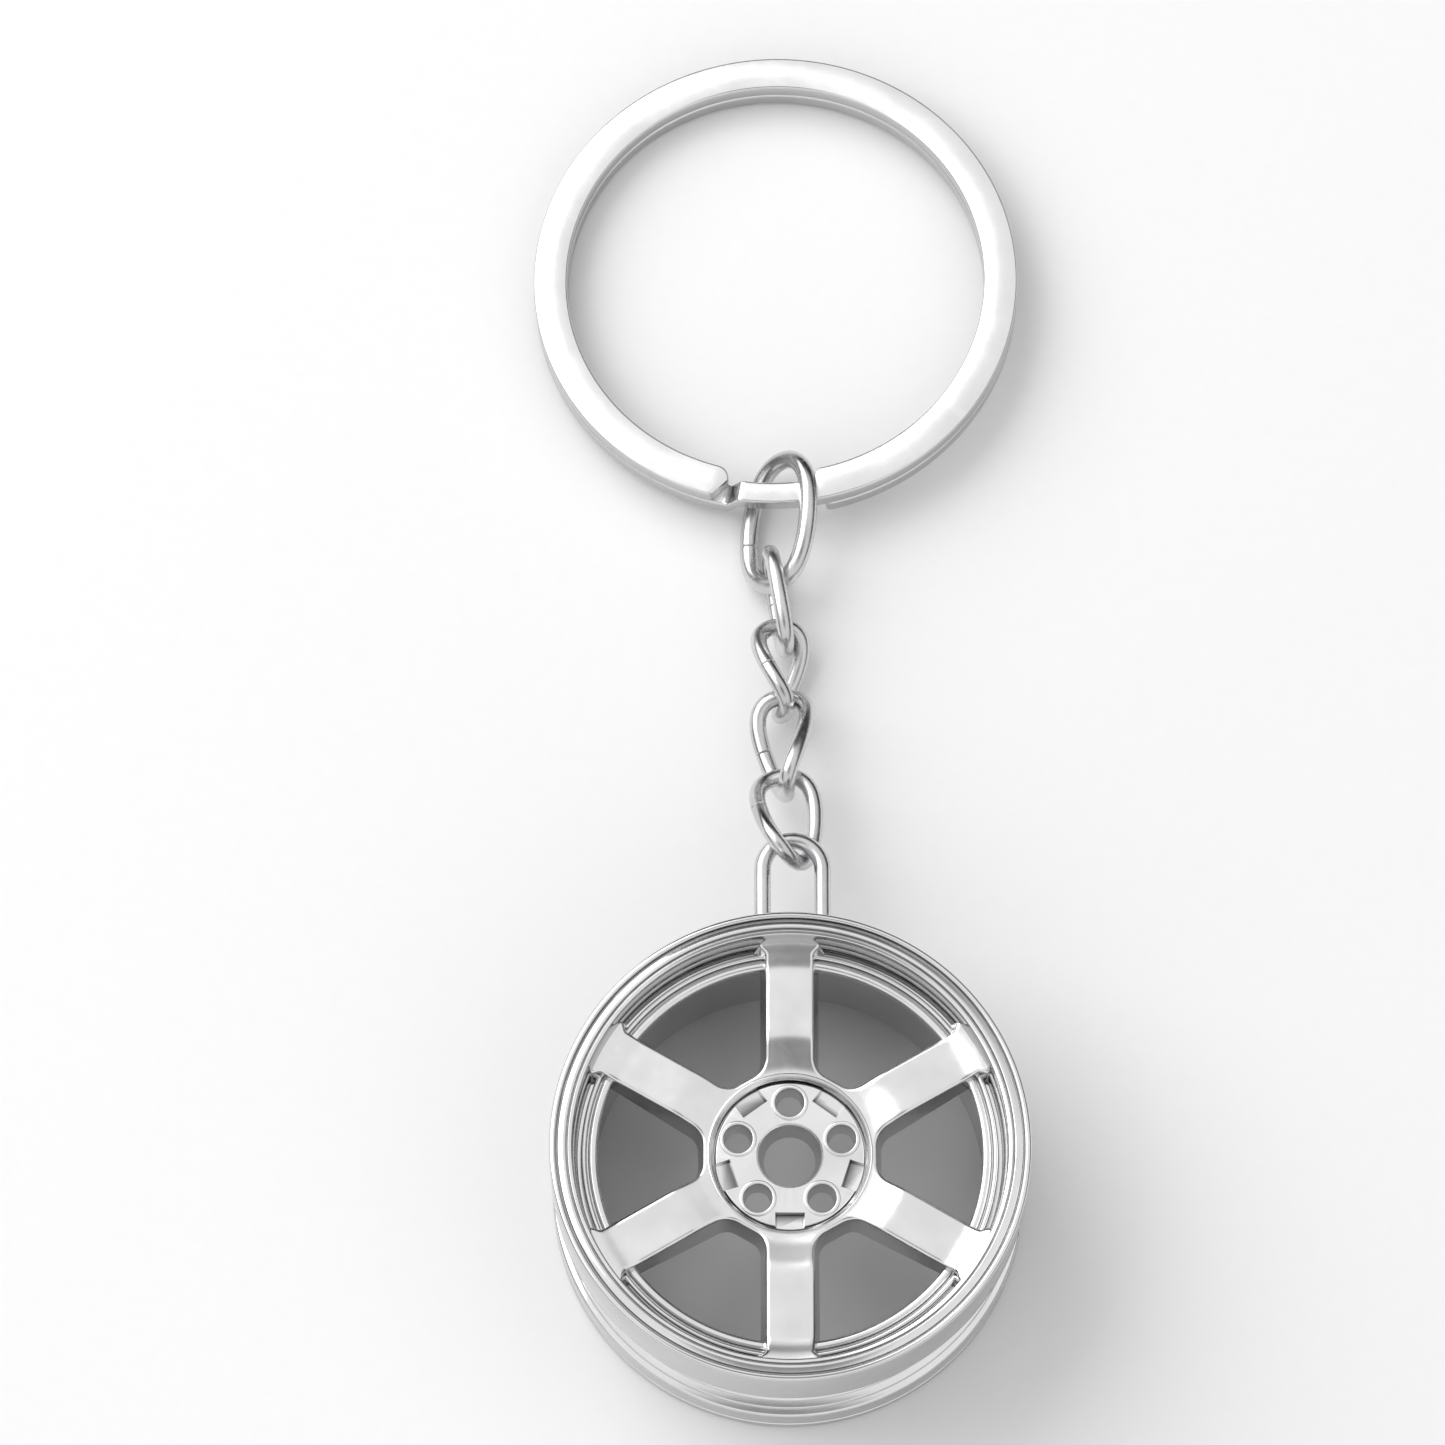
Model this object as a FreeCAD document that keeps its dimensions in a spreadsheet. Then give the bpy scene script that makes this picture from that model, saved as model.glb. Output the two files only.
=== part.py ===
import FreeCAD, Part
import math
import os
import Sketcher
from FreeCAD import Placement, Rotation, Vector

# A key ring with a car-wheel charm: a two-turn split ring, an oval connector link, four small
# links and a six-spoke wheel with a wire bail.  Millimetres, +Z up.  The origin is the middle of
# the object's footprint on the surface it lies on.  The chain runs along Y: the split ring is at
# +Y and the wheel, lying on its back, is at -Y.

doc = FreeCAD.newDocument("wheel_key_ring")

SIZES = (
    # split ring: flat wire wound twice
    ("ring_radius", 16.0, "outer radius of the split ring"),
    ("ring_band", 2.2, "width of the flat wire"),
    ("ring_step_band", 1.5, "width of the wire where it steps between the turns"),
    ("coil_thickness", 1.22, "thickness of the flat wire"),
    ("coil_gap", 0.04, "gap between the two turns"),
    ("coil_start", 282.0, "angle where both turns begin"),
    ("coil_span", 333.0, "angle that each turn covers"),
    ("ring_y", 30.25, "place of the ring's axis along the chain"),
    ("ring_rest_height", 0.775, "height of the ring's lower face at its axis"),
    ("ring_lean_side", 1.5, "lift of the ring's +X side in degrees"),
    ("ring_lean_near", 2.25, "lift of the ring's chain side in degrees"),
    # links: wire sizes
    ("connector_wire", 1.18, "wire diameter of the connector link"),
    ("chain_wire", 1.08, "wire diameter of the four small links"),
    # wheel
    ("wheel_x", 0.64, "place of the wheel's axis across the chain"),
    ("wheel_y", -31.3, "place of the wheel's axis along the chain"),
    ("wheel_radius", 15.0, "outer radius of both flanges"),
    ("wheel_depth", 14.0, "back edge to front lip"),
    ("edge_break", 0.25, "chamfer on the flange edges"),
    ("lip_bead_radius", 14.6, "inner edge of the front lip's bead"),
    ("lip_groove_radius", 14.5, "bottom of the groove inside the bead"),
    ("lip_groove_height", 13.72, "height of that groove"),
    ("lip_band_radius", 13.95, "inner edge of the lip's flat band"),
    ("lip_band_height", 13.85, "height of the lip's flat band"),
    ("lip_ledge_radius", 13.5, "inner edge of the lip's ledge"),
    ("lip_ledge_height", 13.5, "height of the lip's ledge"),
    ("seat_radius", 13.15, "wall that the spoke casting is pressed into"),
    ("seat_height", 10.7, "shoulder that the spoke casting rests on"),
    ("barrel_radius", 12.4, "inside of the barrel"),
    ("drop_radius", 13.3, "outside of the barrel between the flanges"),
    ("drop_low", 5.1, "lower end of the drop centre"),
    ("drop_high", 8.2, "upper end of the drop centre"),
    ("front_flange_height", 8.8, "underside of the front flange"),
    ("rear_flange_height", 3.3, "top of the rear flange"),
    ("bead_seat_radius", 14.65, "ridge above the rear flange"),
    ("bead_groove_radius", 14.35, "groove between flange and ridge"),
    ("bead_groove_height", 3.55, "height of that groove"),
    ("bead_ridge_low", 3.8, "lower edge of the ridge"),
    ("bead_ridge_high", 4.5, "upper edge of the ridge"),
    ("mouth_radius", 13.9, "inner radius of the open back"),
    ("mouth_height", 2.6, "height where the mouth meets the barrel"),
    # spoke casting
    ("casting_outer", 13.15, "outer radius of the casting's rim ring"),
    ("casting_inner", 12.0, "inner radius of the casting's rim ring"),
    ("ridge_split", 12.6, "groove between the ring's two ridges"),
    ("ridge_top", 11.5, "top of the ridges"),
    ("ridge_groove", 11.3, "bottom of the groove between them"),
    ("hub_radius", 5.3, "outer radius of the hub"),
    ("hub_back", 9.0, "height of the hub's back face"),
    ("hub_top", 11.5, "height of the hub's rim"),
    ("well_radius", 4.8, "radius of the round well in the hub"),
    ("well_height", 10.6, "bottom of the groove round the hub pad"),
    ("pad_radius", 4.5, "radius of the hub pad"),
    ("pad_height", 10.95, "face that the lug holes open in"),
    ("spoke_count", 6, "number of spokes"),
    ("spoke_width", 3.1, "width of a spoke"),
    ("spoke_knee_radius", 7.4, "radius where the spoke levels out"),
    ("spoke_knee_height", 12.0, "height of the spoke there"),
    ("spoke_bend_radius", 11.6, "radius where the spoke turns up to the lip"),
    ("spoke_bend_height", 12.1, "height of the spoke there"),
    ("spoke_tip_radius", 13.3, "outer end of the spoke"),
    ("spoke_tip_height", 12.8, "height of the spoke's outer end"),
    ("spoke_foot_radius", 13.0, "lower corner of the spoke's outer end"),
    ("spoke_foot_height", 11.0, "height of that corner"),
    ("bore_radius", 2.0, "centre bore"),
    ("lug_count", 5, "number of lug holes"),
    ("lug_hole_radius", 0.9, "lug hole"),
    ("lug_circle_radius", 3.4, "radius of the circle the lug holes lie on"),
    ("pocket_inner", 3.75, "inner edge of a hub pocket"),
    ("pocket_outer", 4.35, "outer edge of a hub pocket"),
    ("pocket_half_width", 0.7, "half the width of a hub pocket"),
    ("pocket_floor", 10.4, "bottom of the hub pockets"),
    # bail
    ("bail_wire", 1.1, "wire diameter of the bail"),
    ("bail_half_width", 1.92, "middle of the bail to the middle of a leg"),
    ("bail_leg", 7.15, "length of the bail's straight legs"),
    ("bail_root", 12.95, "wheel axis to the inner end of the legs"),
    ("bail_offset", 0.28, "bail to the right of the wheel's axis"),
    ("bail_height", 5.82, "height of the bail's wire"),
)

sheet = doc.addObject("Spreadsheet::Sheet", "Sizes")
for row, (alias, value, note) in enumerate(SIZES, start=1):
    sheet.set(f"A{row}", note)
    sheet.set(f"B{row}", str(value))
    sheet.setAlias(f"B{row}", alias)
doc.recompute()


def size(alias):
    return float(sheet.get(alias))


def of_sheet(formula):
    """A formula of aliases, as an expression that other objects can be bound to."""
    words = formula.replace("(", "( ").replace(")", " )").split()
    return " ".join(f"Sizes.{word}" if word[0].isalpha() else word for word in words)


def origin_item(body, role):
    return next(item for item in body.Origin.OriginFeatures if item.Role == role)


def new_body(name):
    body = doc.addObject("PartDesign::Body", name)
    body.Label = name
    return body


def new_sketch(body, name, plane, lift=None):
    """An empty sketch on one of the body's own origin planes, raised by a formula if given."""
    sketch = body.newObject("Sketcher::SketchObject", name)
    sketch.AttachmentSupport = (origin_item(body, plane), [""])
    sketch.MapMode = "FlatFace"
    if lift:
        sketch.setExpression("AttachmentOffset.Base.z", of_sheet(lift))
    return sketch


def bind(sketch, constraint, formula):
    """Add a distance constraint whose value follows the sheet."""
    index = sketch.addConstraint(constraint)
    sketch.setExpression(f"Constraints[{index}]", of_sheet(formula))


def draw_polygon(sketch, corners):
    """A closed polygon; both coordinates of every corner follow the sheet."""
    count = len(corners)
    first_guess_radius = 10
    for i in range(count):
        angles = (math.tau * i / count, math.tau * (i + 1) / count)
        start, end = (Vector(math.cos(angle), math.sin(angle), 0) * first_guess_radius
                      for angle in angles)
        sketch.addGeometry(Part.LineSegment(start, end), False)
    for i in range(count):
        sketch.addConstraint(Sketcher.Constraint("Coincident", i, 2, (i + 1) % count, 1))
    for i, (across, up) in enumerate(corners):
        bind(sketch, Sketcher.Constraint("DistanceX", i, 1, 1.0), across)
        bind(sketch, Sketcher.Constraint("DistanceY", i, 1, 1.0), up)


def draw_circle(sketch, across, up, radius):
    """A circle; its centre and radius follow the sheet."""
    circle = sketch.addGeometry(Part.Circle(Vector(1, 1, 0), Vector(0, 0, 1), 1), False)
    bind(sketch, Sketcher.Constraint("DistanceX", circle, 3, 1.0), across)
    bind(sketch, Sketcher.Constraint("DistanceY", circle, 3, 1.0), up)
    bind(sketch, Sketcher.Constraint("Radius", circle, 1.0), radius)


def revolve(body, name, corners):
    """A full turn of a polygon of (radius, height) corners about the body's Z axis."""
    sketch = new_sketch(body, f"{name}_profile", "XZ_Plane")
    draw_polygon(sketch, corners)
    turned = body.newObject("PartDesign::Revolution", name)
    turned.Profile = sketch
    turned.ReferenceAxis = (sketch, ["V_Axis"])
    turned.Angle = 360
    return turned


def repeat_round(body, name, feature, count):
    """Repeat a feature round the body's Z axis."""
    pattern = body.newObject("PartDesign::PolarPattern", name)
    pattern.Originals = [feature]
    pattern.Axis = (origin_item(body, "Z_Axis"), [""])
    pattern.Angle = 360
    pattern.setExpression("Occurrences", of_sheet(count))
    body.Tip = pattern
    return pattern


def pocket_through(body, name, sketch):
    """Cut a sketch right through the body, both ways."""
    pocket = body.newObject("PartDesign::Pocket", name)
    pocket.Profile = sketch
    pocket.SideType = "Symmetric"
    pocket.Type = "ThroughAll"
    return pocket


# ---------------------------------------------------------------- split ring
def coil(name, base_height):
    """One flat turn of the split ring: a sector of an annulus."""
    discs = []
    for part_name, radius in (("outer", "ring_radius"), ("bore", "ring_radius - ring_band")):
        disc = doc.addObject("Part::Cylinder", f"{name}_{part_name}")
        disc.setExpression("Radius", of_sheet(radius))
        disc.setExpression("Height", of_sheet("coil_thickness"))
        disc.setExpression("Angle", of_sheet("coil_span"))
        disc.setExpression("Placement.Base.z", of_sheet(base_height))
        disc.Placement.Rotation = Rotation(Vector(0, 0, 1), size("coil_start"))
        discs.append(disc)
    turn = doc.addObject("Part::Cut", name)
    turn.Base, turn.Tool = discs
    return turn


def ring_step():
    """The ramp, narrower than the band, that joins the end of one turn to the start of the other."""
    sections = 9
    overlap_angle = 0.5
    first = size("coil_start") + overlap_angle
    last = size("coil_start") + size("coil_span") - 360 - overlap_angle
    rise = size("coil_thickness") + size("coil_gap")
    narrowing = size("ring_band") - size("ring_step_band")
    wires = []
    for i in range(sections):
        along = i / (sections - 1)
        angle = math.radians(first + (last - first) * along)
        base = rise * (1 + math.cos(math.pi * along)) / 2
        inner = size("ring_radius") - size("ring_band")
        inner += narrowing * math.sin(math.pi * along) ** 0.5
        out = Vector(math.cos(angle), math.sin(angle), 0)
        up = Vector(0, 0, size("coil_thickness"))
        low_in = out * inner + Vector(0, 0, base)
        low_out = out * size("ring_radius") + Vector(0, 0, base)
        wires.append(Part.makePolygon([low_in, low_out, low_out + up, low_in + up, low_in]))
    step = doc.addObject("Part::Feature", "ring_step")
    step.Shape = Part.makeLoft(wires, True, True)
    return step


split_ring = doc.addObject("Part::MultiFuse", "split_ring")
split_ring.Label = "split_ring"
split_ring.Shapes = [
    coil("lower_turn", "0"),
    coil("upper_turn", "coil_thickness + coil_gap"),
    ring_step(),
]
lean = Rotation(Vector(0, 1, 0), -size("ring_lean_side"))
lean = Rotation(Vector(1, 0, 0), -size("ring_lean_near")).multiply(lean)
split_ring.Placement = Placement(Vector(0, size("ring_y"), size("ring_rest_height")), lean)


# ---------------------------------------------------------------- links
# Each link is a closed oval of round wire, twisted about its long axis: its far end is rolled by
# one angle and its near end by another, so that each link lets the next one lie across it.
# length and width are outside sizes; fullness squares off the oval's ends; the middle is given
# from the wheel's axis; yaw and pitch turn the long axis sideways and up.
LINKS = (
    dict(name="connector_link", wire="connector_wire", length=9.75, width=6.70, far_roll=49,
         near_roll=45, fullness=0.18, middle=(-0.50, 44.72, 2.70), yaw=-6.3, pitch=4.3),
    dict(name="edge_link", wire="chain_wire", length=7.60, width=4.80, far_roll=89,
         near_roll=87, fullness=0.25, middle=(-0.58, 39.35, 2.46), yaw=9.0, pitch=0.3),
    dict(name="upper_curb_link", wire="chain_wire", length=7.10, width=4.56, far_roll=-6,
         near_roll=-108, fullness=0.39, middle=(-0.36, 34.61, 2.44), yaw=2.1, pitch=-0.6),
    dict(name="middle_curb_link", wire="chain_wire", length=8.15, width=4.83, far_roll=5,
         near_roll=90, fullness=0.40, middle=(-0.22, 29.33, 3.33), yaw=2.6, pitch=-14.4),
    dict(name="lower_curb_link", wire="chain_wire", length=7.86, width=4.99, far_roll=1,
         near_roll=-57, fullness=0.34, middle=(-0.01, 23.85, 4.93), yaw=5.2, pitch=-21.8),
)


def link_centreline(link):
    """The closed, smooth centreline of a link, with its long axis on Y."""
    points_round = 24
    half_length = (link["length"] - size(link["wire"])) / 2
    half_width = (link["width"] - size(link["wire"])) / 2
    points = []
    for i in range(points_round):
        turn = math.tau * i / points_round
        across = half_width * math.cos(turn) * (1 + link["fullness"] * math.sin(turn) ** 2)
        share = (1 - math.sin(turn)) / 2
        roll = math.radians(link["far_roll"] + (link["near_roll"] - link["far_roll"]) * share)
        points.append(Vector(across * math.cos(roll), half_length * math.sin(turn),
                             across * math.sin(roll)))
    curve = Part.BSplineCurve()
    curve.interpolate(Points=points, PeriodicFlag=True)
    return curve


def half_link(name, wire, curve, start, end):
    """Sweep the round wire along one half of a link's centreline."""
    path = doc.addObject("Part::Feature", f"{name}_path")
    path.Shape = curve.toShape(start, end)
    section = doc.addObject("Part::Circle", f"{name}_section")
    section.setExpression("Radius", of_sheet(f"{wire} / 2"))
    along = Rotation(Vector(0, 0, 1), curve.tangent(start)[0])
    section.Placement = Placement(curve.value(start), along)
    sweep = doc.addObject("Part::Sweep", name)
    sweep.Sections = [section]
    sweep.Spine = (path, ["Edge1"])
    sweep.Solid = True
    sweep.Frenet = True
    return sweep


def make_link(link):
    """Join the two halves of a link and put it in its place."""
    name = link["name"]
    curve = link_centreline(link)
    first, last = curve.FirstParameter, curve.LastParameter
    middle = (first + last) / 2
    whole = doc.addObject("Part::MultiFuse", name)
    whole.Label = name
    whole.Shapes = [
        half_link(f"{name}_right", link["wire"], curve, first, middle),
        half_link(f"{name}_left", link["wire"], curve, middle, last),
    ]
    turn = Rotation(Vector(0, 0, 1), link["yaw"]).multiply(Rotation(Vector(1, 0, 0), link["pitch"]))
    axis = Vector(size("wheel_x"), size("wheel_y"), 0)
    whole.Placement = Placement(axis + Vector(*link["middle"]), turn)
    return whole


links = [make_link(link) for link in LINKS]


# ---------------------------------------------------------------- wheel
wheel_place = Placement(Vector(size("wheel_x"), size("wheel_y"), 0), Rotation())

rim_barrel = new_body("rim_barrel")
revolve(rim_barrel, "barrel", (
    ("mouth_radius", "0"),
    ("wheel_radius - edge_break", "0"),
    ("wheel_radius", "edge_break"),
    ("wheel_radius", "rear_flange_height - edge_break"),
    ("wheel_radius - edge_break", "rear_flange_height"),
    ("bead_groove_radius", "bead_groove_height"),
    ("bead_seat_radius", "bead_ridge_low"),
    ("bead_seat_radius", "bead_ridge_high"),
    ("drop_radius", "drop_low"),
    ("drop_radius", "drop_high"),
    ("wheel_radius - edge_break", "front_flange_height"),
    ("wheel_radius", "front_flange_height + edge_break"),
    ("wheel_radius", "wheel_depth - edge_break"),
    ("wheel_radius - edge_break", "wheel_depth"),
    ("lip_bead_radius", "wheel_depth"),
    ("lip_groove_radius", "lip_groove_height"),
    ("lip_groove_radius - edge_break / 2", "lip_band_height"),
    ("lip_band_radius", "lip_band_height"),
    ("lip_ledge_radius", "lip_ledge_height"),
    ("seat_radius", "ridge_top"),
    ("seat_radius", "seat_height"),
    ("barrel_radius", "seat_height"),
    ("barrel_radius", "mouth_height"),
))
rim_barrel.Placement = wheel_place

spoke_disc = new_body("spoke_disc")
revolve(spoke_disc, "hub", (
    ("0", "hub_back"),
    ("hub_radius", "hub_back"),
    ("hub_radius", "hub_top"),
    ("well_radius", "hub_top"),
    ("well_radius", "well_height"),
    ("pad_radius", "well_height"),
    ("pad_radius", "pad_height"),
    ("0", "pad_height"),
))
spoke_profile = new_sketch(spoke_disc, "spoke_profile", "YZ_Plane")
draw_polygon(spoke_profile, (
    ("well_radius", "hub_back"),
    ("spoke_foot_radius", "spoke_foot_height"),
    ("spoke_foot_radius", "ridge_top"),
    ("spoke_tip_radius", "spoke_tip_height"),
    ("spoke_bend_radius", "spoke_bend_height"),
    ("spoke_knee_radius", "spoke_knee_height"),
    ("well_radius", "hub_top"),
))
spoke = spoke_disc.newObject("PartDesign::Pad", "spoke")
spoke.Profile = spoke_profile
spoke.SideType = "Symmetric"
spoke.setExpression("Length", of_sheet("spoke_width"))
repeat_round(spoke_disc, "spokes", spoke, "spoke_count")
revolve(spoke_disc, "casting_ring", (
    ("casting_inner", "seat_height"),
    ("casting_outer", "seat_height"),
    ("casting_outer", "ridge_groove"),
    ("casting_outer - edge_break / 2", "ridge_top"),
    ("ridge_split + edge_break / 2", "ridge_top"),
    ("ridge_split", "ridge_groove"),
    ("ridge_split - edge_break / 2", "ridge_top"),
    ("casting_inner", "ridge_top"),
))

bore_sketch = new_sketch(spoke_disc, "bore_sketch", "XY_Plane")
draw_circle(bore_sketch, "0", "0", "bore_radius")
pocket_through(spoke_disc, "bore", bore_sketch)

lug_sketch = new_sketch(spoke_disc, "lug_sketch", "XY_Plane")
draw_circle(lug_sketch, "0", "lug_circle_radius", "lug_hole_radius")
lug_hole = pocket_through(spoke_disc, "lug_hole", lug_sketch)
repeat_round(spoke_disc, "lug_holes", lug_hole, "lug_count")

pocket_sketch = new_sketch(spoke_disc, "pocket_sketch", "XY_Plane", lift="pad_height")
draw_polygon(pocket_sketch, (
    ("0 - pocket_half_width", "0 - pocket_outer"),
    ("pocket_half_width", "0 - pocket_outer"),
    ("pocket_half_width", "0 - pocket_inner"),
    ("0 - pocket_half_width", "0 - pocket_inner"),
))
hub_pocket = spoke_disc.newObject("PartDesign::Pocket", "hub_pocket")
hub_pocket.Profile = pocket_sketch
hub_pocket.setExpression("Length", of_sheet("pad_height - pocket_floor"))
repeat_round(spoke_disc, "hub_pockets", hub_pocket, "lug_count")
spoke_disc.Placement = wheel_place

wheel_bail = new_body("wheel_bail")
bail_path = new_sketch(wheel_bail, "bail_path", "XY_Plane")
half, leg = size("bail_half_width"), size("bail_leg")
bail_path.addGeometry(Part.LineSegment(Vector(-half, 0, 0), Vector(-half, leg, 0)), False)
arch = Part.Circle(Vector(0, leg, 0), Vector(0, 0, 1), half)
bail_path.addGeometry(Part.ArcOfCircle(arch, 0, math.pi), False)
bail_path.addGeometry(Part.LineSegment(Vector(half, leg, 0), Vector(half, 0, 0)), False)
bail_path.addConstraint(Sketcher.Constraint("Tangent", 0, 2, 1, 2))
bail_path.addConstraint(Sketcher.Constraint("Tangent", 2, 1, 1, 1))
bind(bail_path, Sketcher.Constraint("DistanceX", 0, 1, -half), "0 - bail_half_width")
bail_path.addConstraint(Sketcher.Constraint("DistanceY", 0, 1, 0.0))
bail_path.addConstraint(Sketcher.Constraint("DistanceY", 2, 2, 0.0))
bind(bail_path, Sketcher.Constraint("DistanceY", 0, 2, leg), "bail_leg")
bail_path.addConstraint(Sketcher.Constraint("Vertical", 0))
bind(bail_path, Sketcher.Constraint("DistanceX", 1, 3, 0.0), "0")
bail_section = new_sketch(wheel_bail, "bail_section", "XZ_Plane")
draw_circle(bail_section, "0 - bail_half_width", "0", "bail_wire / 2")
bail_wire = wheel_bail.newObject("PartDesign::AdditivePipe", "bail_sweep")
bail_wire.Profile = bail_section
bail_wire.Spine = (bail_path, ["Edge1", "Edge2", "Edge3"])
bail_x = size("wheel_x") + size("bail_offset")
bail_y = size("wheel_y") + size("bail_root")
wheel_bail.Placement = Placement(Vector(bail_x, bail_y, size("bail_height")), Rotation())

# ---------------------------------------------------------------- checks and export
doc.recompute()
sub_parts = [split_ring, *links, wheel_bail, rim_barrel, spoke_disc]
for item in doc.Objects:
    if "Invalid" in item.State or "Error" in item.State:
        raise SystemExit(f"{item.Label} failed: {item.State}")
os.makedirs("parts", exist_ok=True)
for part in sub_parts:
    shape = part.Shape
    if shape.isNull() or not shape.isValid() or len(shape.Solids) != 1:
        raise SystemExit(f"{part.Label} has no single valid solid")
    shape.exportStep(f"parts/{part.Label}.step")
    box = shape.BoundBox
    print(f"{part.Label:18s} {shape.Volume:9.3f} mm3  "
          f"x {box.XMin:7.2f} {box.XMax:7.2f}  y {box.YMin:7.2f} {box.YMax:7.2f}  "
          f"z {box.ZMin:6.2f} {box.ZMax:6.2f}")
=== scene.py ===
import math

import bmesh
import bpy
from mathutils import Matrix, Vector


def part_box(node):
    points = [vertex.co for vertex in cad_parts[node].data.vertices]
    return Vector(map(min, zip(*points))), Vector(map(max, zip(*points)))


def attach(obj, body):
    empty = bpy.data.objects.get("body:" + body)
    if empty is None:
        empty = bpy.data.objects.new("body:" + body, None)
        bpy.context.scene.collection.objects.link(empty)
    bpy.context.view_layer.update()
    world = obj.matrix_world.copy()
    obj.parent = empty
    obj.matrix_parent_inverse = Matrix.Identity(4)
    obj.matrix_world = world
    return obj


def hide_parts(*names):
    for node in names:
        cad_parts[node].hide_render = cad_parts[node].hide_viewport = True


# The looks of a split key ring with a wheel charm, built round its CAD frame.  Shapes are worked
# out in millimetres and turned into metres when a mesh is made.

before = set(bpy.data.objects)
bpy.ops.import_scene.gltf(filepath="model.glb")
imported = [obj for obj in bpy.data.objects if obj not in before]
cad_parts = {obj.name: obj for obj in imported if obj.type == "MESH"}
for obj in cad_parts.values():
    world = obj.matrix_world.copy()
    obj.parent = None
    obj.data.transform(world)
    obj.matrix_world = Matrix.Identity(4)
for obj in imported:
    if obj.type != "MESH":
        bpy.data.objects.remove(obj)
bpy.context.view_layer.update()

MM = 0.001
SMOOTH_ANGLE = math.radians(42)


# ---------------------------------------------------------------- places from the frame
def box_mm(node):
    """Lowest corner, highest corner and middle of a CAD node, in millimetres."""
    low, high = (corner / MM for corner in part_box(node))
    return low, high, (low + high) / 2


rim_low, rim_high, rim_middle = box_mm("rim_barrel")
WHEEL_AXIS = Vector((rim_middle.x, rim_middle.y, 0))
WHEEL_RADIUS = (rim_high.x - rim_low.x) / 2
WHEEL_DEPTH = rim_high.z
RING_MIDDLE = box_mm("split_ring")[2]


# ---------------------------------------------------------------- materials
def metal(name, bright, dull, gloss, matte, grain_along, bump, wall):
    """A plated metal: cloudy tone, fine wiping scratches, tiny pits and worn, paler edges.
    The upright walls get painted shade: their tone is multiplied by wall,
    and the bottoms of grooves get a little painted shade as well."""
    material = bpy.data.materials.new(name)
    material.use_nodes = True
    nodes = material.node_tree.nodes
    links = material.node_tree.links
    shader = nodes["Principled BSDF"]
    shader.inputs["Metallic"].default_value = 1.0
    place = nodes.new("ShaderNodeTexCoord")

    def noise(scale, detail, source):
        node = nodes.new("ShaderNodeTexNoise")
        node.inputs["Scale"].default_value = scale
        node.inputs["Detail"].default_value = detail
        links.new(source, node.inputs["Vector"])
        return node.outputs["Fac"]

    def remap(source, low, high, to_low, to_high):
        node = nodes.new("ShaderNodeMapRange")
        node.inputs["From Min"].default_value = low
        node.inputs["From Max"].default_value = high
        node.inputs["To Min"].default_value = to_low
        node.inputs["To Max"].default_value = to_high
        links.new(source, node.inputs["Value"])
        return node.outputs["Result"]

    def mix(share, first, second):
        node = nodes.new("ShaderNodeMix")
        node.data_type = "RGBA"
        links.new(share, node.inputs["Factor"])
        for socket, value in ((node.inputs["A"], first), (node.inputs["B"], second)):
            if isinstance(value, tuple):
                socket.default_value = (*value, 1)
            else:
                links.new(value, socket)
        return node.outputs["Result"]

    def add(first, second):
        node = nodes.new("ShaderNodeMath")
        node.operation = "ADD"
        links.new(first, node.inputs[0])
        links.new(second, node.inputs[1])
        return node.outputs["Value"]

    scratched = nodes.new("ShaderNodeMapping")
    scratched.inputs["Scale"].default_value = grain_along
    links.new(place.outputs["Object"], scratched.inputs["Vector"])
    clouds = noise(330, 3, place.outputs["Object"])
    pits = noise(5200, 2, place.outputs["Object"])
    scratches = noise(1, 4, scratched.outputs["Vector"])
    # Pointiness drives both the worn, paler edges and the painted shade in concave grooves.
    wear_and_crease_shade = nodes.new("ShaderNodeNewGeometry").outputs["Pointiness"]
    worn = remap(wear_and_crease_shade, 0.52, 0.62, 0, 0.5)
    pale = tuple(min(1, channel * 1.06) for channel in bright)
    tone = mix(remap(clouds, 0.35, 0.65, 0, 1), dull, bright)
    # Painted shade: faces whose normal points sideways get their tone multiplied down towards wall,
    # which is reached on upright walls.
    upright = nodes.new("ShaderNodeSeparateXYZ")
    links.new(place.outputs["Normal"], upright.inputs["Vector"])
    level = remap(upright.outputs["Z"], 0.15, 0.75, wall, 1)
    # Painted shade: concave grooves, where pointiness is low, are darkened; this multiplies the
    # painted shade of the upright walls.
    groove_shade = nodes.new("ShaderNodeMath")
    groove_shade.operation = "MULTIPLY"
    links.new(level, groove_shade.inputs[0])
    links.new(remap(wear_and_crease_shade, 0.40, 0.48, 0.28, 1), groove_shade.inputs[1])
    shade = nodes.new("ShaderNodeVectorMath")
    shade.operation = "SCALE"
    links.new(mix(worn, tone, pale), shade.inputs[0])
    links.new(groove_shade.outputs["Value"], shade.inputs["Scale"])
    links.new(shade.outputs["Vector"], shader.inputs["Base Color"])
    roughness = add(remap(clouds, 0.3, 0.7, gloss, matte), remap(scratches, 0.45, 0.75, 0, 0.06))
    links.new(roughness, shader.inputs["Roughness"])
    relief = add(remap(pits, 0, 1, 0, 0.4), remap(scratches, 0, 1, 0, 0.6))
    bumped = nodes.new("ShaderNodeBump")
    bumped.inputs["Strength"].default_value = bump
    bumped.inputs["Distance"].default_value = 0.01 * MM
    links.new(relief, bumped.inputs["Height"])
    links.new(bumped.outputs["Normal"], shader.inputs["Normal"])
    return material


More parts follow.
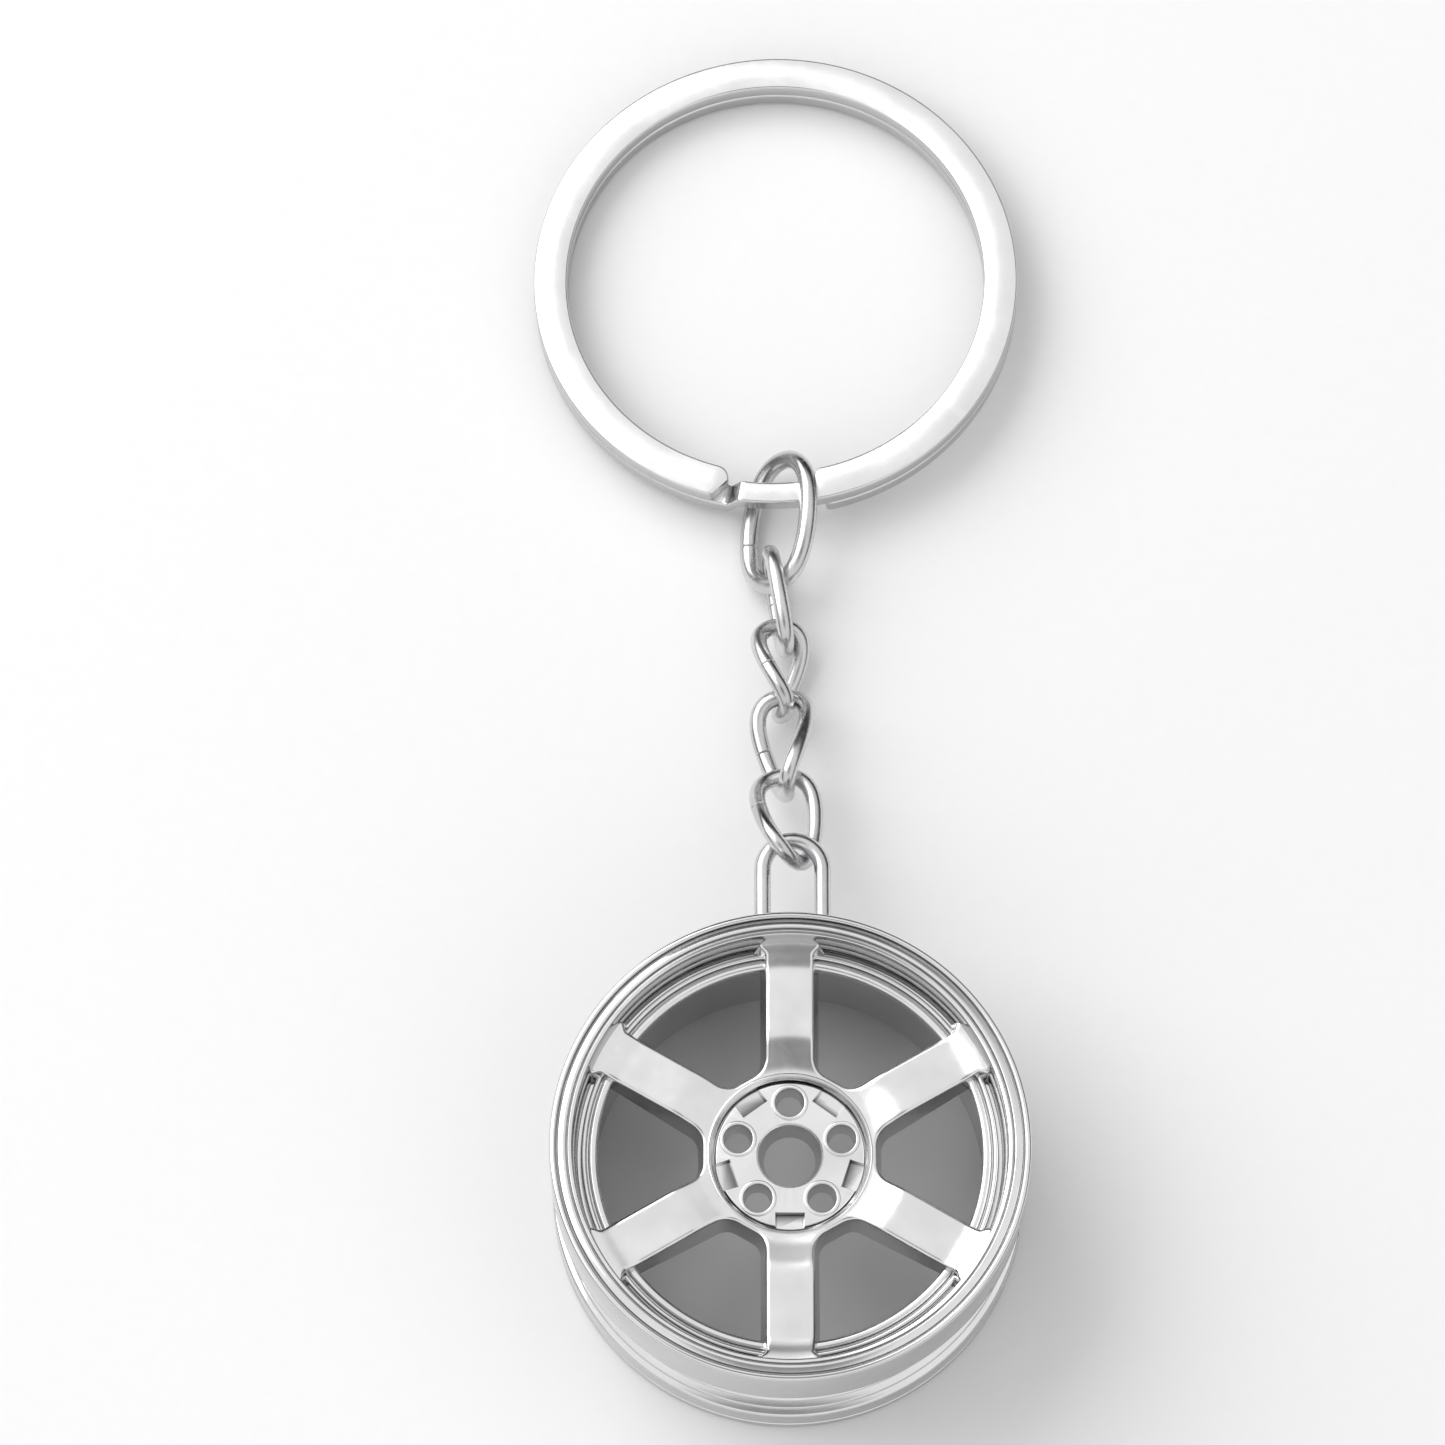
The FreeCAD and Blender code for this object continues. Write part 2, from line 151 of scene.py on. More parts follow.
# The wall argument sets how much painted shade the upright faces of each metal get.
ring_metal = metal("satin_nickel", (0.87, 0.87, 0.87), (0.84, 0.84, 0.842), 0.17, 0.24,
                   (2600, 2600, 2600), 0.10, wall=0.62)
link_metal = metal("polished_nickel", (0.72, 0.72, 0.725), (0.60, 0.60, 0.61), 0.20, 0.29,
                   (2400, 2400, 2400), 0.22, wall=1.0)
rim_metal = metal("polished_chrome", (0.86, 0.86, 0.865), (0.80, 0.80, 0.81), 0.07, 0.13,
                  (900, 900, 5200), 0.18, wall=0.62)
spoke_metal = metal("cast_chrome", (0.86, 0.86, 0.86), (0.79, 0.79, 0.795), 0.15, 0.22,
                    (1500, 1500, 1500), 0.30, wall=0.80)


def floor_material():
    """Matt, near-white paper with a very fine tooth."""
    material = bpy.data.materials.new("pale_paper")
    material.use_nodes = True
    nodes = material.node_tree.nodes
    links = material.node_tree.links
    shader = nodes["Principled BSDF"]
    shader.inputs["Roughness"].default_value = 0.9
    shader.inputs["Specular IOR Level"].default_value = 0.1
    place = nodes.new("ShaderNodeTexCoord")
    tooth = nodes.new("ShaderNodeTexNoise")
    tooth.inputs["Scale"].default_value = 900
    links.new(place.outputs["Object"], tooth.inputs["Vector"])
    tone = nodes.new("ShaderNodeMix")
    tone.data_type = "RGBA"
    tone.inputs["A"].default_value = (0.93, 0.93, 0.93, 1)
    tone.inputs["B"].default_value = (0.96, 0.96, 0.96, 1)
    links.new(tooth.outputs["Fac"], tone.inputs["Factor"])
    links.new(tone.outputs["Result"], shader.inputs["Base Color"])
    return material


# ---------------------------------------------------------------- mesh tools
def new_shell():
    return bmesh.new()


def add_grid(shell, rows, wrap_rows=False, wrap_columns=False):
    """Quads between rows of points; every row has the same number of points."""
    made = [[shell.verts.new(point) for point in row] for row in rows]
    row_count = len(made)
    column_count = len(made[0])
    for i in range(row_count if wrap_rows else row_count - 1):
        for j in range(column_count if wrap_columns else column_count - 1):
            here = made[i]
            after = made[(i + 1) % row_count]
            k = (j + 1) % column_count
            shell.faces.new((here[j], after[j], after[k], here[k]))
    return made


def lathe(shell, outline, axis, segments):
    """Turn a closed outline of (radius, height) points about a vertical axis."""
    rows = []
    for i in range(segments):
        angle = math.tau * i / segments
        rows.append([axis + Vector((radius * math.cos(angle), radius * math.sin(angle), height))
                     for radius, height in outline])
    add_grid(shell, rows, wrap_rows=True, wrap_columns=True)


def add_plug(shell, spot, profile, segments):
    """A closed, solid turning: a circle for each (radius, height), capped at both ends."""
    rows = []
    for radius, height in profile:
        rows.append([spot + Vector((radius * math.cos(math.tau * k / segments),
                                    radius * math.sin(math.tau * k / segments), height))
                     for k in range(segments)])
    made = add_grid(shell, rows, wrap_columns=True)
    shell.faces.new(made[0])
    shell.faces.new(made[-1])


def rounded(corners, steps=5):
    """A closed outline whose (across, up, fillet) corners are turned into arcs."""
    outline = []
    for i, (across, up, fillet) in enumerate(corners):
        corner = Vector((across, up))
        back = (Vector(corners[i - 1][:2]) - corner).normalized()
        ahead = (Vector(corners[(i + 1) % len(corners)][:2]) - corner).normalized()
        half = back.angle(ahead) / 2
        turn = math.pi - 2 * half
        if fillet == 0 or turn < math.radians(1):
            outline.append(corner)
            continue
        centre = corner + (back + ahead).normalized() * (fillet / math.sin(half))
        first = corner + back * (fillet / math.tan(half)) - centre
        last = corner + ahead * (fillet / math.tan(half)) - centre
        for step in range(steps + 1):
            share = step / steps
            arm = first * math.sin((1 - share) * turn) + last * math.sin(share * turn)
            outline.append(centre + arm / math.sin(turn))
    return outline


def tube(shell, points, frames, radii, sides, closed):
    """A round wire: a circle of each radius across each frame (two unit vectors) of the path."""
    rows = []
    for point, (side, up), radius in zip(points, frames, radii):
        rows.append([point + side * (radius * math.cos(math.tau * k / sides))
                     + up * (radius * math.sin(math.tau * k / sides)) for k in range(sides)])
    made = add_grid(shell, rows, wrap_rows=closed, wrap_columns=True)
    if not closed:
        shell.faces.new(made[0])
        shell.faces.new(made[-1])


def finish_piece(shell, name, body, material, nodes, settle_on=None):
    """Turn a shell in millimetres into a finished piece that rides on a body."""
    bmesh.ops.remove_doubles(shell, verts=shell.verts, dist=0.0008)
    bmesh.ops.recalc_face_normals(shell, faces=shell.faces)
    if settle_on:
        low = Vector(min(vert.co[axis] for vert in shell.verts) for axis in range(3))
        high = Vector(max(vert.co[axis] for vert in shell.verts) for axis in range(3))
        shift = box_mm(settle_on)[2] - (low + high) / 2
        bmesh.ops.translate(shell, verts=shell.verts, vec=shift)
    bmesh.ops.scale(shell, verts=shell.verts, vec=(MM, MM, MM))
    mesh = bpy.data.meshes.new(name)
    shell.to_mesh(mesh)
    shell.free()
    mesh.shade_smooth()
    mesh.set_sharp_from_angle(angle=SMOOTH_ANGLE)
    mesh.materials.append(material)
    piece = bpy.data.objects.new(name, mesh)
    bpy.context.scene.collection.objects.link(piece)
    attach(piece, body)
    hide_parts(*nodes)
    return piece


def smooth_step(share):
    share = min(1, max(0, share))
    return share * share * (3 - 2 * share)


# ---------------------------------------------------------------- split ring
RING_RADIUS = 16.0
RING_BAND = 2.2
RING_STEP_BAND = 1.45
COIL_THICKNESS = 1.22
COIL_GAP = 0.04
COIL_START = 282.0
COIL_SPAN = 333.0
STEP_SPAN = 27.0
RAMP_SPAN = 3.6
RAMP_DELAY = 0.3
RAMP_NARROWING = 0.12
END_OVERRUN = 2.6
END_SLANT = 3.0
SLANT_FADE = 12
END_LIFT = 0.05
RING_LEAN_SIDE = math.radians(-1.5)
RING_LEAN_NEAR = math.radians(-2.25)
BAND_EDGE = 0.16
END_CORNER = 0.8
END_EDGE = 0.12


def band_section(inner, outer, low, high, edge):
    """The rounded-rectangle section of the flat wire, as (radius, height) points."""
    corners = ((inner, low, edge), (outer, low, edge), (outer, high, edge), (inner, high, edge))
    return rounded(corners, steps=4)


def split_ring():
    """One flat wire wound twice: a lower turn, a short ramp into a narrower strip, and an upper
    turn whose free end is slanted.  The ramp is shorter than the CAD ring's."""
    shell = new_shell()
    rise = COIL_THICKNESS + COIL_GAP
    step_start = COIL_START + COIL_SPAN
    step_end = step_start + STEP_SPAN
    end = step_end + COIL_SPAN + END_OVERRUN
    corner_angle = math.degrees(END_CORNER / (RING_RADIUS - RING_BAND))
    corner_steps = 12
    angles = [COIL_START + corner_angle * (1 - math.cos(math.pi / 2 * k / corner_steps))
              for k in range(corner_steps)]
    plain_steps = 900
    angles += [COIL_START + corner_angle + (end - COIL_START - 2 * corner_angle) * k / plain_steps
               for k in range(plain_steps + 1)]
    angles += [end - corner_angle * (1 - math.cos(math.pi / 2 * k / corner_steps))
               for k in reversed(range(corner_steps))]
    rows = []
    for degrees in angles:
        along = (degrees - step_start) / STEP_SPAN
        past_end = degrees - step_start - END_OVERRUN - RAMP_DELAY
        base = rise * smooth_step(past_end / RAMP_SPAN)
        narrow = smooth_step(along / RAMP_NARROWING) * smooth_step((1 - along) / RAMP_NARROWING)
        inner = RING_RADIUS - RING_BAND + (RING_BAND - RING_STEP_BAND) * narrow
        outer = RING_RADIUS
        from_end = min(degrees - COIL_START, end - degrees)
        if from_end < corner_angle:
            reach = 1 - from_end / corner_angle
            inner += END_CORNER * (1 - math.sqrt(max(0, 1 - reach * reach)))
            outer -= END_EDGE * max(0, 1 - from_end / corner_angle * 6)
        lift = END_LIFT * max(0, 1 - from_end / corner_angle * 4)
        section = band_section(inner, outer, base + lift - COIL_THICKNESS - COIL_GAP / 2,
                               base - lift - COIL_GAP / 2, BAND_EDGE)
        angle = math.radians(degrees)
        near_end = smooth_step(1 - (end - degrees) / SLANT_FADE)
        row = []
        for radius, height in section:
            slant = math.radians(END_SLANT) * near_end * (radius - inner) / (outer - inner)
            row.append(Vector((radius * math.cos(angle - slant), radius * math.sin(angle - slant),
                               height)))
        rows.append(row)
    made = add_grid(shell, rows, wrap_columns=True)
    shell.faces.new(made[0])
    shell.faces.new(made[-1])
    lean = Matrix.Rotation(RING_LEAN_NEAR, 4, "X") @ Matrix.Rotation(RING_LEAN_SIDE, 4, "Y")
    shell.transform(Matrix.Translation(RING_MIDDLE) @ lean)
    return finish_piece(shell, "split_ring_wire", "ring", ring_metal,
                        ["split_ring"])


split_ring()


# ---------------------------------------------------------------- links
# Each link is a closed oval of round wire, twisted about its long axis, as the CAD link is.  The
# lower curb link and the bail have slightly thinner wire than in CAD, and stay clear of each other.
LINKS = (
    dict(node="connector_link", body="connector", wire=1.18, length=9.75, width=6.70, far_roll=49,
         near_roll=45, fullness=0.18, yaw=-6.3, pitch=4.3, seam=200),
    dict(node="edge_link", body="edge", wire=1.08, length=7.60, width=4.80, far_roll=89,
         near_roll=87, fullness=0.25, yaw=9.0, pitch=0.3, seam=175),
    dict(node="upper_curb_link", body="upper", wire=1.08, length=7.10, width=4.56, far_roll=-6,
         near_roll=-108, fullness=0.39, yaw=2.1, pitch=-0.6, seam=182),
    dict(node="middle_curb_link", body="middle", wire=1.08, length=8.15, width=4.83, far_roll=5,
         near_roll=90, fullness=0.40, yaw=2.6, pitch=-14.4, seam=178),
    dict(node="lower_curb_link", body="lower", wire=1.04, length=7.86, width=4.99, far_roll=1,
         near_roll=-57, fullness=0.34, yaw=5.2, pitch=-21.8, seam=176),
)
LINK_STEPS = 288
WIRE_SIDES = 36
SEAM_DEPTH = 0.07
SEAM_HALF_ANGLE = 1.1


def link_point(link, turn):
    """A point of the link's centreline, and the direction across the flat of the oval."""
    half_length = (link["length"] - link["wire"]) / 2
    half_width = (link["width"] - link["wire"]) / 2
    across = half_width * math.cos(turn) * (1 + link["fullness"] * math.sin(turn) ** 2)
    share = (1 - math.sin(turn)) / 2
    roll = math.radians(link["far_roll"] + (link["near_roll"] - link["far_roll"]) * share)
    point = Vector((across * math.cos(roll), half_length * math.sin(turn),
                    across * math.sin(roll)))
    return point, Vector((-math.sin(roll), 0, math.cos(roll)))


def link_piece(link):
    shell = new_shell()
    seam = math.radians(link["seam"])
    near_seam = [seam + math.radians(SEAM_HALF_ANGLE) * k / 3 for k in range(-5, 6)]
    even = [math.tau * k / LINK_STEPS for k in range(LINK_STEPS)]
    turns = [turn for turn in even if abs(turn - seam) > math.radians(SEAM_HALF_ANGLE) * 2]
    turns = sorted(turns + near_seam)
    points, frames, radii = [], [], []
    for turn in turns:
        point, flat = link_point(link, turn)
        tangent = (link_point(link, turn + 0.001)[0] - link_point(link, turn - 0.001)[0])
        tangent.normalize()
        side = tangent.cross(flat).normalized()
        off_seam = math.degrees(abs(turn - seam)) / SEAM_HALF_ANGLE
        groove = SEAM_DEPTH * max(0, 1 - off_seam)
        points.append(point)
        frames.append((side, side.cross(tangent)))
        radii.append(link["wire"] / 2 - groove)
    tube(shell, points, frames, radii, WIRE_SIDES, closed=True)
    turn = (Matrix.Rotation(math.radians(link["yaw"]), 4, "Z")
            @ Matrix.Rotation(math.radians(link["pitch"]), 4, "X"))
    shell.transform(turn)
    return finish_piece(shell, f"{link['node']}_wire", link["body"], link_metal,
                        [link["node"]], settle_on=link["node"])


for link in LINKS:
    link_piece(link)


# ---------------------------------------------------------------- bail
BAIL_WIRE = 1.06
BAIL_HALF_WIDTH = 1.92
BAIL_LEG = 7.15
SOLDER_REACH = 0.9
SOLDER_SWELL = 0.22


def bail_piece():
    """The wire loop that hangs the wheel, with a little solder where it enters the barrel."""
    shell = new_shell()
    leg_steps = 40
    arch_steps = 72
    points, tangents, from_root = [], [], []
    for k in range(leg_steps):
        up = BAIL_LEG * k / leg_steps
        points.append(Vector((-BAIL_HALF_WIDTH, up, 0)))
        tangents.append(Vector((0, 1, 0)))
        from_root.append(up)
    for k in range(arch_steps + 1):
        angle = math.pi * (1 - k / arch_steps)
        points.append(Vector((BAIL_HALF_WIDTH * math.cos(angle),
                              BAIL_LEG + BAIL_HALF_WIDTH * math.sin(angle), 0)))
        tangents.append(Vector((math.sin(angle), -math.cos(angle), 0)))
        from_root.append(BAIL_LEG)
    for k in range(1, leg_steps + 1):
        up = BAIL_LEG * (1 - k / leg_steps)
        points.append(Vector((BAIL_HALF_WIDTH, up, 0)))
        tangents.append(Vector((0, -1, 0)))
        from_root.append(up)
    up_vector = Vector((0, 0, 1))
    frames = [(tangent.cross(up_vector), up_vector) for tangent in tangents]
    radii = [BAIL_WIRE / 2 + SOLDER_SWELL * max(0, 1 - up / SOLDER_REACH) ** 2
             for up in from_root]
    tube(shell, points, frames, radii, WIRE_SIDES, closed=False)
    low, _, middle = box_mm("wheel_bail")
    shell.transform(Matrix.Translation((middle.x, low.y, middle.z)))
    return finish_piece(shell, "wheel_bail_wire", "wheel", link_metal,
                        ["wheel_bail"])


bail_piece()


# ---------------------------------------------------------------- rim
def rim_piece():
    """The barrel with its two flanges, turned from one outline of (radius, height, fillet)."""
    shell = new_shell()
    edge = WHEEL_RADIUS
    top = WHEEL_DEPTH
    outline = rounded((
        (13.90, 0.00, 0.15),
        (edge, 0.00, 0.28),
        (edge, 0.95, 0.06),
        (edge - 0.30, 1.10, 0.04),
        (edge, 1.25, 0.06),
        (edge, 3.30, 0.22),
        (14.12, 3.56, 0.05),
        (14.66, 3.82, 0.10),
        (14.66, 4.22, 0.12),
        (14.02, 4.42, 0.04),
        (14.36, 4.66, 0.10),
        (14.02, 4.85, 0.07),
        (13.88, 4.62, 0.03),
        (13.30, 4.62, 0.05),
        (13.30, 7.90, 0.40),
        (14.55, 8.62, 0.10),
        (edge, 8.80, 0.15),
        (edge, top, 0.24),
        (14.60, top, 0.14),
        (14.53, top - 0.60, 0.03),
        (14.44, top - 0.22, 0.04),
        (14.16, top - 0.12, 0.06),
        (13.97, top - 0.10, 0.07),
        (13.90, top - 0.48, 0.02),
        (13.82, top - 0.20, 0.04),
        (13.56, top - 0.26, 0.12),
        (13.30, 11.70, 0.10),
        (13.30, 10.72, 0.05),
        (12.40, 10.72, 0.10),
        (12.40, 9.90, 0.05),
        (12.30, 9.75, 0.05),
        (12.40, 9.60, 0.05),
        (12.40, 2.60, 0.60),
        (13.60, 1.30, 0.50),
    ))
    lathe(shell, outline, WHEEL_AXIS, 384)
    return finish_piece(shell, "rim_barrel_shell", "wheel", rim_metal,
                        ["rim_barrel"])


rim_piece()


# ---------------------------------------------------------------- spoke casting
SPOKES = 6
SECTOR = math.tau / SPOKES
LUGS = 5
SPOKE_HALF_WIDTH = 1.53
WINDOW_START = 5.45
WINDOW_CORNER = 1.35
CASTING_REACH = 13.42
WING_START = 12.75
WING_WIDTH = 0.42
TOP_BEVEL = 0.24
WALL_DRAFT = 0.30
BACK_BEVEL = 0.15
HUB_INNER = 5.0
HUB_BACK = 9.0
BACK_RISE = 0.22
TOP_HEIGHTS = ((0, 11.44), (5.45, 11.44), (7.4, 12.02), (12.0, 11.93), (13.2, 12.36), (14, 12.40))
TOP_SOFTNESS = 0.42


def height_of_top(radius):
    """Front face of the casting: sloped at the hub, level along the spoke, scooped at the lip."""
    total = 0
    samples = (-1, -0.75, -0.5, -0.25, 0, 0.25, 0.5, 0.75, 1)
    for offset in samples:
        here = radius + offset * TOP_SOFTNESS
        for (r0, z0), (r1, z1) in zip(TOP_HEIGHTS, TOP_HEIGHTS[1:]):
            if r0 <= here <= r1:
                total += z0 + (z1 - z0) * (here - r0) / (r1 - r0)
    return total / len(samples)


def height_of_back(radius):
    return HUB_BACK + BACK_RISE * max(0, radius - HUB_INNER)


def half_outline(offset):
    """Half a spoke's edge, moved outwards by offset: from between two spokes to the lip.
    The spoke's own axis is +Y and the half is on +X."""
    half_width = SPOKE_HALF_WIDTH + offset
    start = WINDOW_START + offset
    corner_radius = WINDOW_CORNER - offset
    between = Vector((math.sin(SECTOR / 2), math.cos(SECTOR / 2))) * start
    to_spoke = Vector((-math.cos(SECTOR / 2), math.sin(SECTOR / 2)))
    flat = (between.x - half_width) / math.cos(SECTOR / 2)
    corner = between + to_spoke * flat
    reach = corner_radius * math.tan(SECTOR / 2)
    arc_start = corner - to_spoke * reach
    arc_end = corner + Vector((0, reach))
    centre = arc_end + Vector((corner_radius, 0))
    points = [between.lerp(arc_start, k / 6) for k in range(6)]
    first = arc_start - centre
    last = arc_end - centre
    for k in range(19):
        share = k / 18
        arm = first * math.sin((1 - share) * SECTOR) + last * math.sin(share * SECTOR)
        points.append(centre + arm / math.sin(SECTOR))
    hub_count = len(points)
    for k in range(1, 91):
        up = arc_end.y + (CASTING_REACH - arc_end.y) * k / 90
        wing = WING_WIDTH * smooth_step((up - WING_START) / (CASTING_REACH - WING_START))
        across = half_width + wing
        points.append(Vector((across, math.sqrt(max(0, up * up - across * across))
                              if up > WING_START else up)))
    return points, hub_count


def spoke_rows():
    """Sections across half a spoke, from the hub out to the lip; each goes from the middle line
    over the front face, down the wall and back to the middle line under the spoke."""
    bevel_steps = 4
    loops = []
    for k in range(bevel_steps + 1):
        angle = math.pi / 2 * k / bevel_steps
        loops.append((-TOP_BEVEL * (1 - math.sin(angle)), TOP_BEVEL * 0.9 * (1 - math.cos(angle))))
    edges = [(half_outline(offset)[0], drop) for offset, drop in loops]
    low_edge = half_outline(WALL_DRAFT)[0]
    back_edge = half_outline(WALL_DRAFT - BACK_BEVEL)[0]
    count = len(low_edge)
    hub_count = half_outline(0)[1]
    face_columns = 10
    rows = []
    for i in range(count):
        if i < hub_count:
            angle = SECTOR / 2 * (1 - i / (hub_count - 1))
            spine = Vector((math.sin(angle), math.cos(angle))) * HUB_INNER
        else:
            share = (i - hub_count + 1) / (count - hub_count)
            spine = Vector((0, HUB_INNER + (CASTING_REACH - HUB_INNER) * share))
        row = []
        for k in range(face_columns):
            spot = spine.lerp(edges[0][0][i], k / face_columns)
            row.append(Vector((spot.x, spot.y, height_of_top(spot.length))))
        for edge, drop in edges:
            spot = edge[i]
            row.append(Vector((spot.x, spot.y, height_of_top(spot.length) - drop)))
        low = height_of_back(low_edge[i].length)
        row.append(Vector((low_edge[i].x, low_edge[i].y, low + BACK_BEVEL)))
        row.append(Vector((back_edge[i].x, back_edge[i].y, low)))
        for k in range(1, face_columns + 1):
            spot = back_edge[i].lerp(spine, k / face_columns)
            row.append(Vector((spot.x, spot.y, height_of_back(spot.length))))
        rows.append(row)
    return rows, hub_count


def add_spokes(shell):
    rows, hub_count = spoke_rows()
    for n in range(SPOKES):
        turn = Matrix.Rotation(-SECTOR * n, 4, "Z")
        for mirror in (1, -1):
            placed = [[WHEEL_AXIS + turn @ Vector((mirror * p.x, p.y, p.z)) for p in row]
                      for row in rows]
            made = add_grid(shell, placed)
            for i in range(hub_count - 1):
                shell.faces.new((made[i][0], made[i + 1][0], made[i + 1][-1], made[i][-1]))
            shell.faces.new(made[-1])


def add_hub(shell):
    """The hub's chamfered rim, its pad cut by the holes and pockets, and the lug hole collars."""
    lathe(shell, rounded((
        (4.80, 9.20, 0), (5.20, 9.20, 0), (5.20, 11.47, 0.10), (5.08, 11.50, 0.04),
        (4.80, 11.18, 0.06))), WHEEL_AXIS, 192)
    pad = new_shell()
    lathe(pad, rounded((
        (0.30, 9.08, 0), (4.90, 9.08, 0), (4.90, 9.90, 0.03), (4.70, 9.90, 0.03),
        (4.66, 10.95, 0.08), (0.30, 10.95, 0))), Vector((0, 0, 0)), 160)
    cutters = new_shell()
    lathe(cutters, rounded((
        (0.10, 8.5, 0), (1.62, 8.5, 0), (1.62, 9.25, 0.05), (1.98, 10.83, 0.05),
        (2.12, 10.97, 0), (2.4, 11.3, 0), (0.10, 11.3, 0))), Vector((0, 0, 0)), 96)
    for n in range(LUGS):
        angle = math.pi / 2 + math.tau * n / LUGS
        spot = Vector((math.cos(angle), math.sin(angle), 0)) * 3.4
        add_plug(cutters, spot, ((1.02, 8.5), (1.02, 11.3)), 48)
        angle += math.pi / LUGS
        add_pocket(cutters, angle)
    cut = boolean_cut(pad, cutters)
    bmesh.ops.translate(cut, verts=cut.verts, vec=WHEEL_AXIS)
    spare = bpy.data.meshes.new("pad_copy")
    cut.to_mesh(spare)
    cut.free()
    shell.from_mesh(spare)
    for n in range(LUGS):
        angle = math.pi / 2 + math.tau * n / LUGS
        spot = WHEEL_AXIS + Vector((math.cos(angle), math.sin(angle), 0)) * 3.4
        lathe(shell, rounded((
            (0.80, 9.15, 0.04), (1.17, 9.15, 0), (1.17, 11.04, 0.10), (0.92, 11.04, 0.07),
            (0.86, 10.7, 0.05))), spot, 64)


def add_pocket(shell, angle):
    """A cutter with sloping walls for one hub pocket, square to the given direction."""
    out = Vector((math.cos(angle), math.sin(angle), 0))
    side = Vector((-out.y, out.x, 0))
    half_top, half_floor = 0.98, 0.82
    rows = []
    for inner, outer, half, inner_height, outer_height in (
            (3.78, 4.80, half_floor, 10.50, 10.58),
            (3.58, 4.80, half_top, 11.2, 11.2)):
        rows.append([out * inner - side * half + Vector((0, 0, inner_height)),
                     out * outer - side * half + Vector((0, 0, outer_height)),
                     out * outer + side * half + Vector((0, 0, outer_height)),
                     out * inner + side * half + Vector((0, 0, inner_height))])
    made = add_grid(shell, rows, wrap_columns=True)
    shell.faces.new(made[0])
    shell.faces.new(made[1])


def boolean_cut(base, cutter):
    """base minus cutter, as a new shell in the same place."""
    made = []
    for name, shell in (("cut_base", base), ("cut_tool", cutter)):
        bmesh.ops.recalc_face_normals(shell, faces=shell.faces)
        mesh = bpy.data.meshes.new(name)
        shell.to_mesh(mesh)
        shell.free()
        item = bpy.data.objects.new(name, mesh)
        bpy.context.scene.collection.objects.link(item)
        made.append(item)
    modifier = made[0].modifiers.new("cut", "BOOLEAN")
    modifier.operation = "DIFFERENCE"
    modifier.solver = "EXACT"
    modifier.object = made[1]
    depsgraph = bpy.context.evaluated_depsgraph_get()
    result = bpy.data.meshes.new_from_object(made[0].evaluated_get(depsgraph))
    cut = new_shell()
    cut.from_mesh(result)
    for item in made:
        bpy.data.objects.remove(item)
    return cut


def add_casting_ring(shell):
    """The casting's outer ring, with two ridges and a groove between them."""
    lathe(shell, rounded((
        (12.00, 10.75, 0.10), (13.04, 10.75, 0.10), (13.04, 11.44, 0.15), (12.72, 11.44, 0.15),
        (12.69, 10.95, 0.01), (12.61, 10.95, 0.01), (12.58, 11.42, 0.20), (12.00, 11.42, 0.28))),
        WHEEL_AXIS, 384)


def casting_piece():
    shell = new_shell()
    add_spokes(shell)
    add_hub(shell)
    add_casting_ring(shell)
    return finish_piece(shell, "spoke_casting", "wheel", spoke_metal,
                        ["spoke_disc"])


casting_piece()


# ---------------------------------------------------------------- floor, light and camera
def stage_floor():
    shell = new_shell()
    half = 900
    add_grid(shell, [[Vector((x, y, -0.02)) for x in (-half, half)] for y in (-half, half)])
    bmesh.ops.scale(shell, verts=shell.verts, vec=(MM, MM, MM))
    mesh = bpy.data.meshes.new("floor")
    shell.to_mesh(mesh)
    shell.free()
    mesh.materials.append(floor_material())
    floor = bpy.data.objects.new("floor", mesh)
    bpy.context.scene.collection.objects.link(floor)


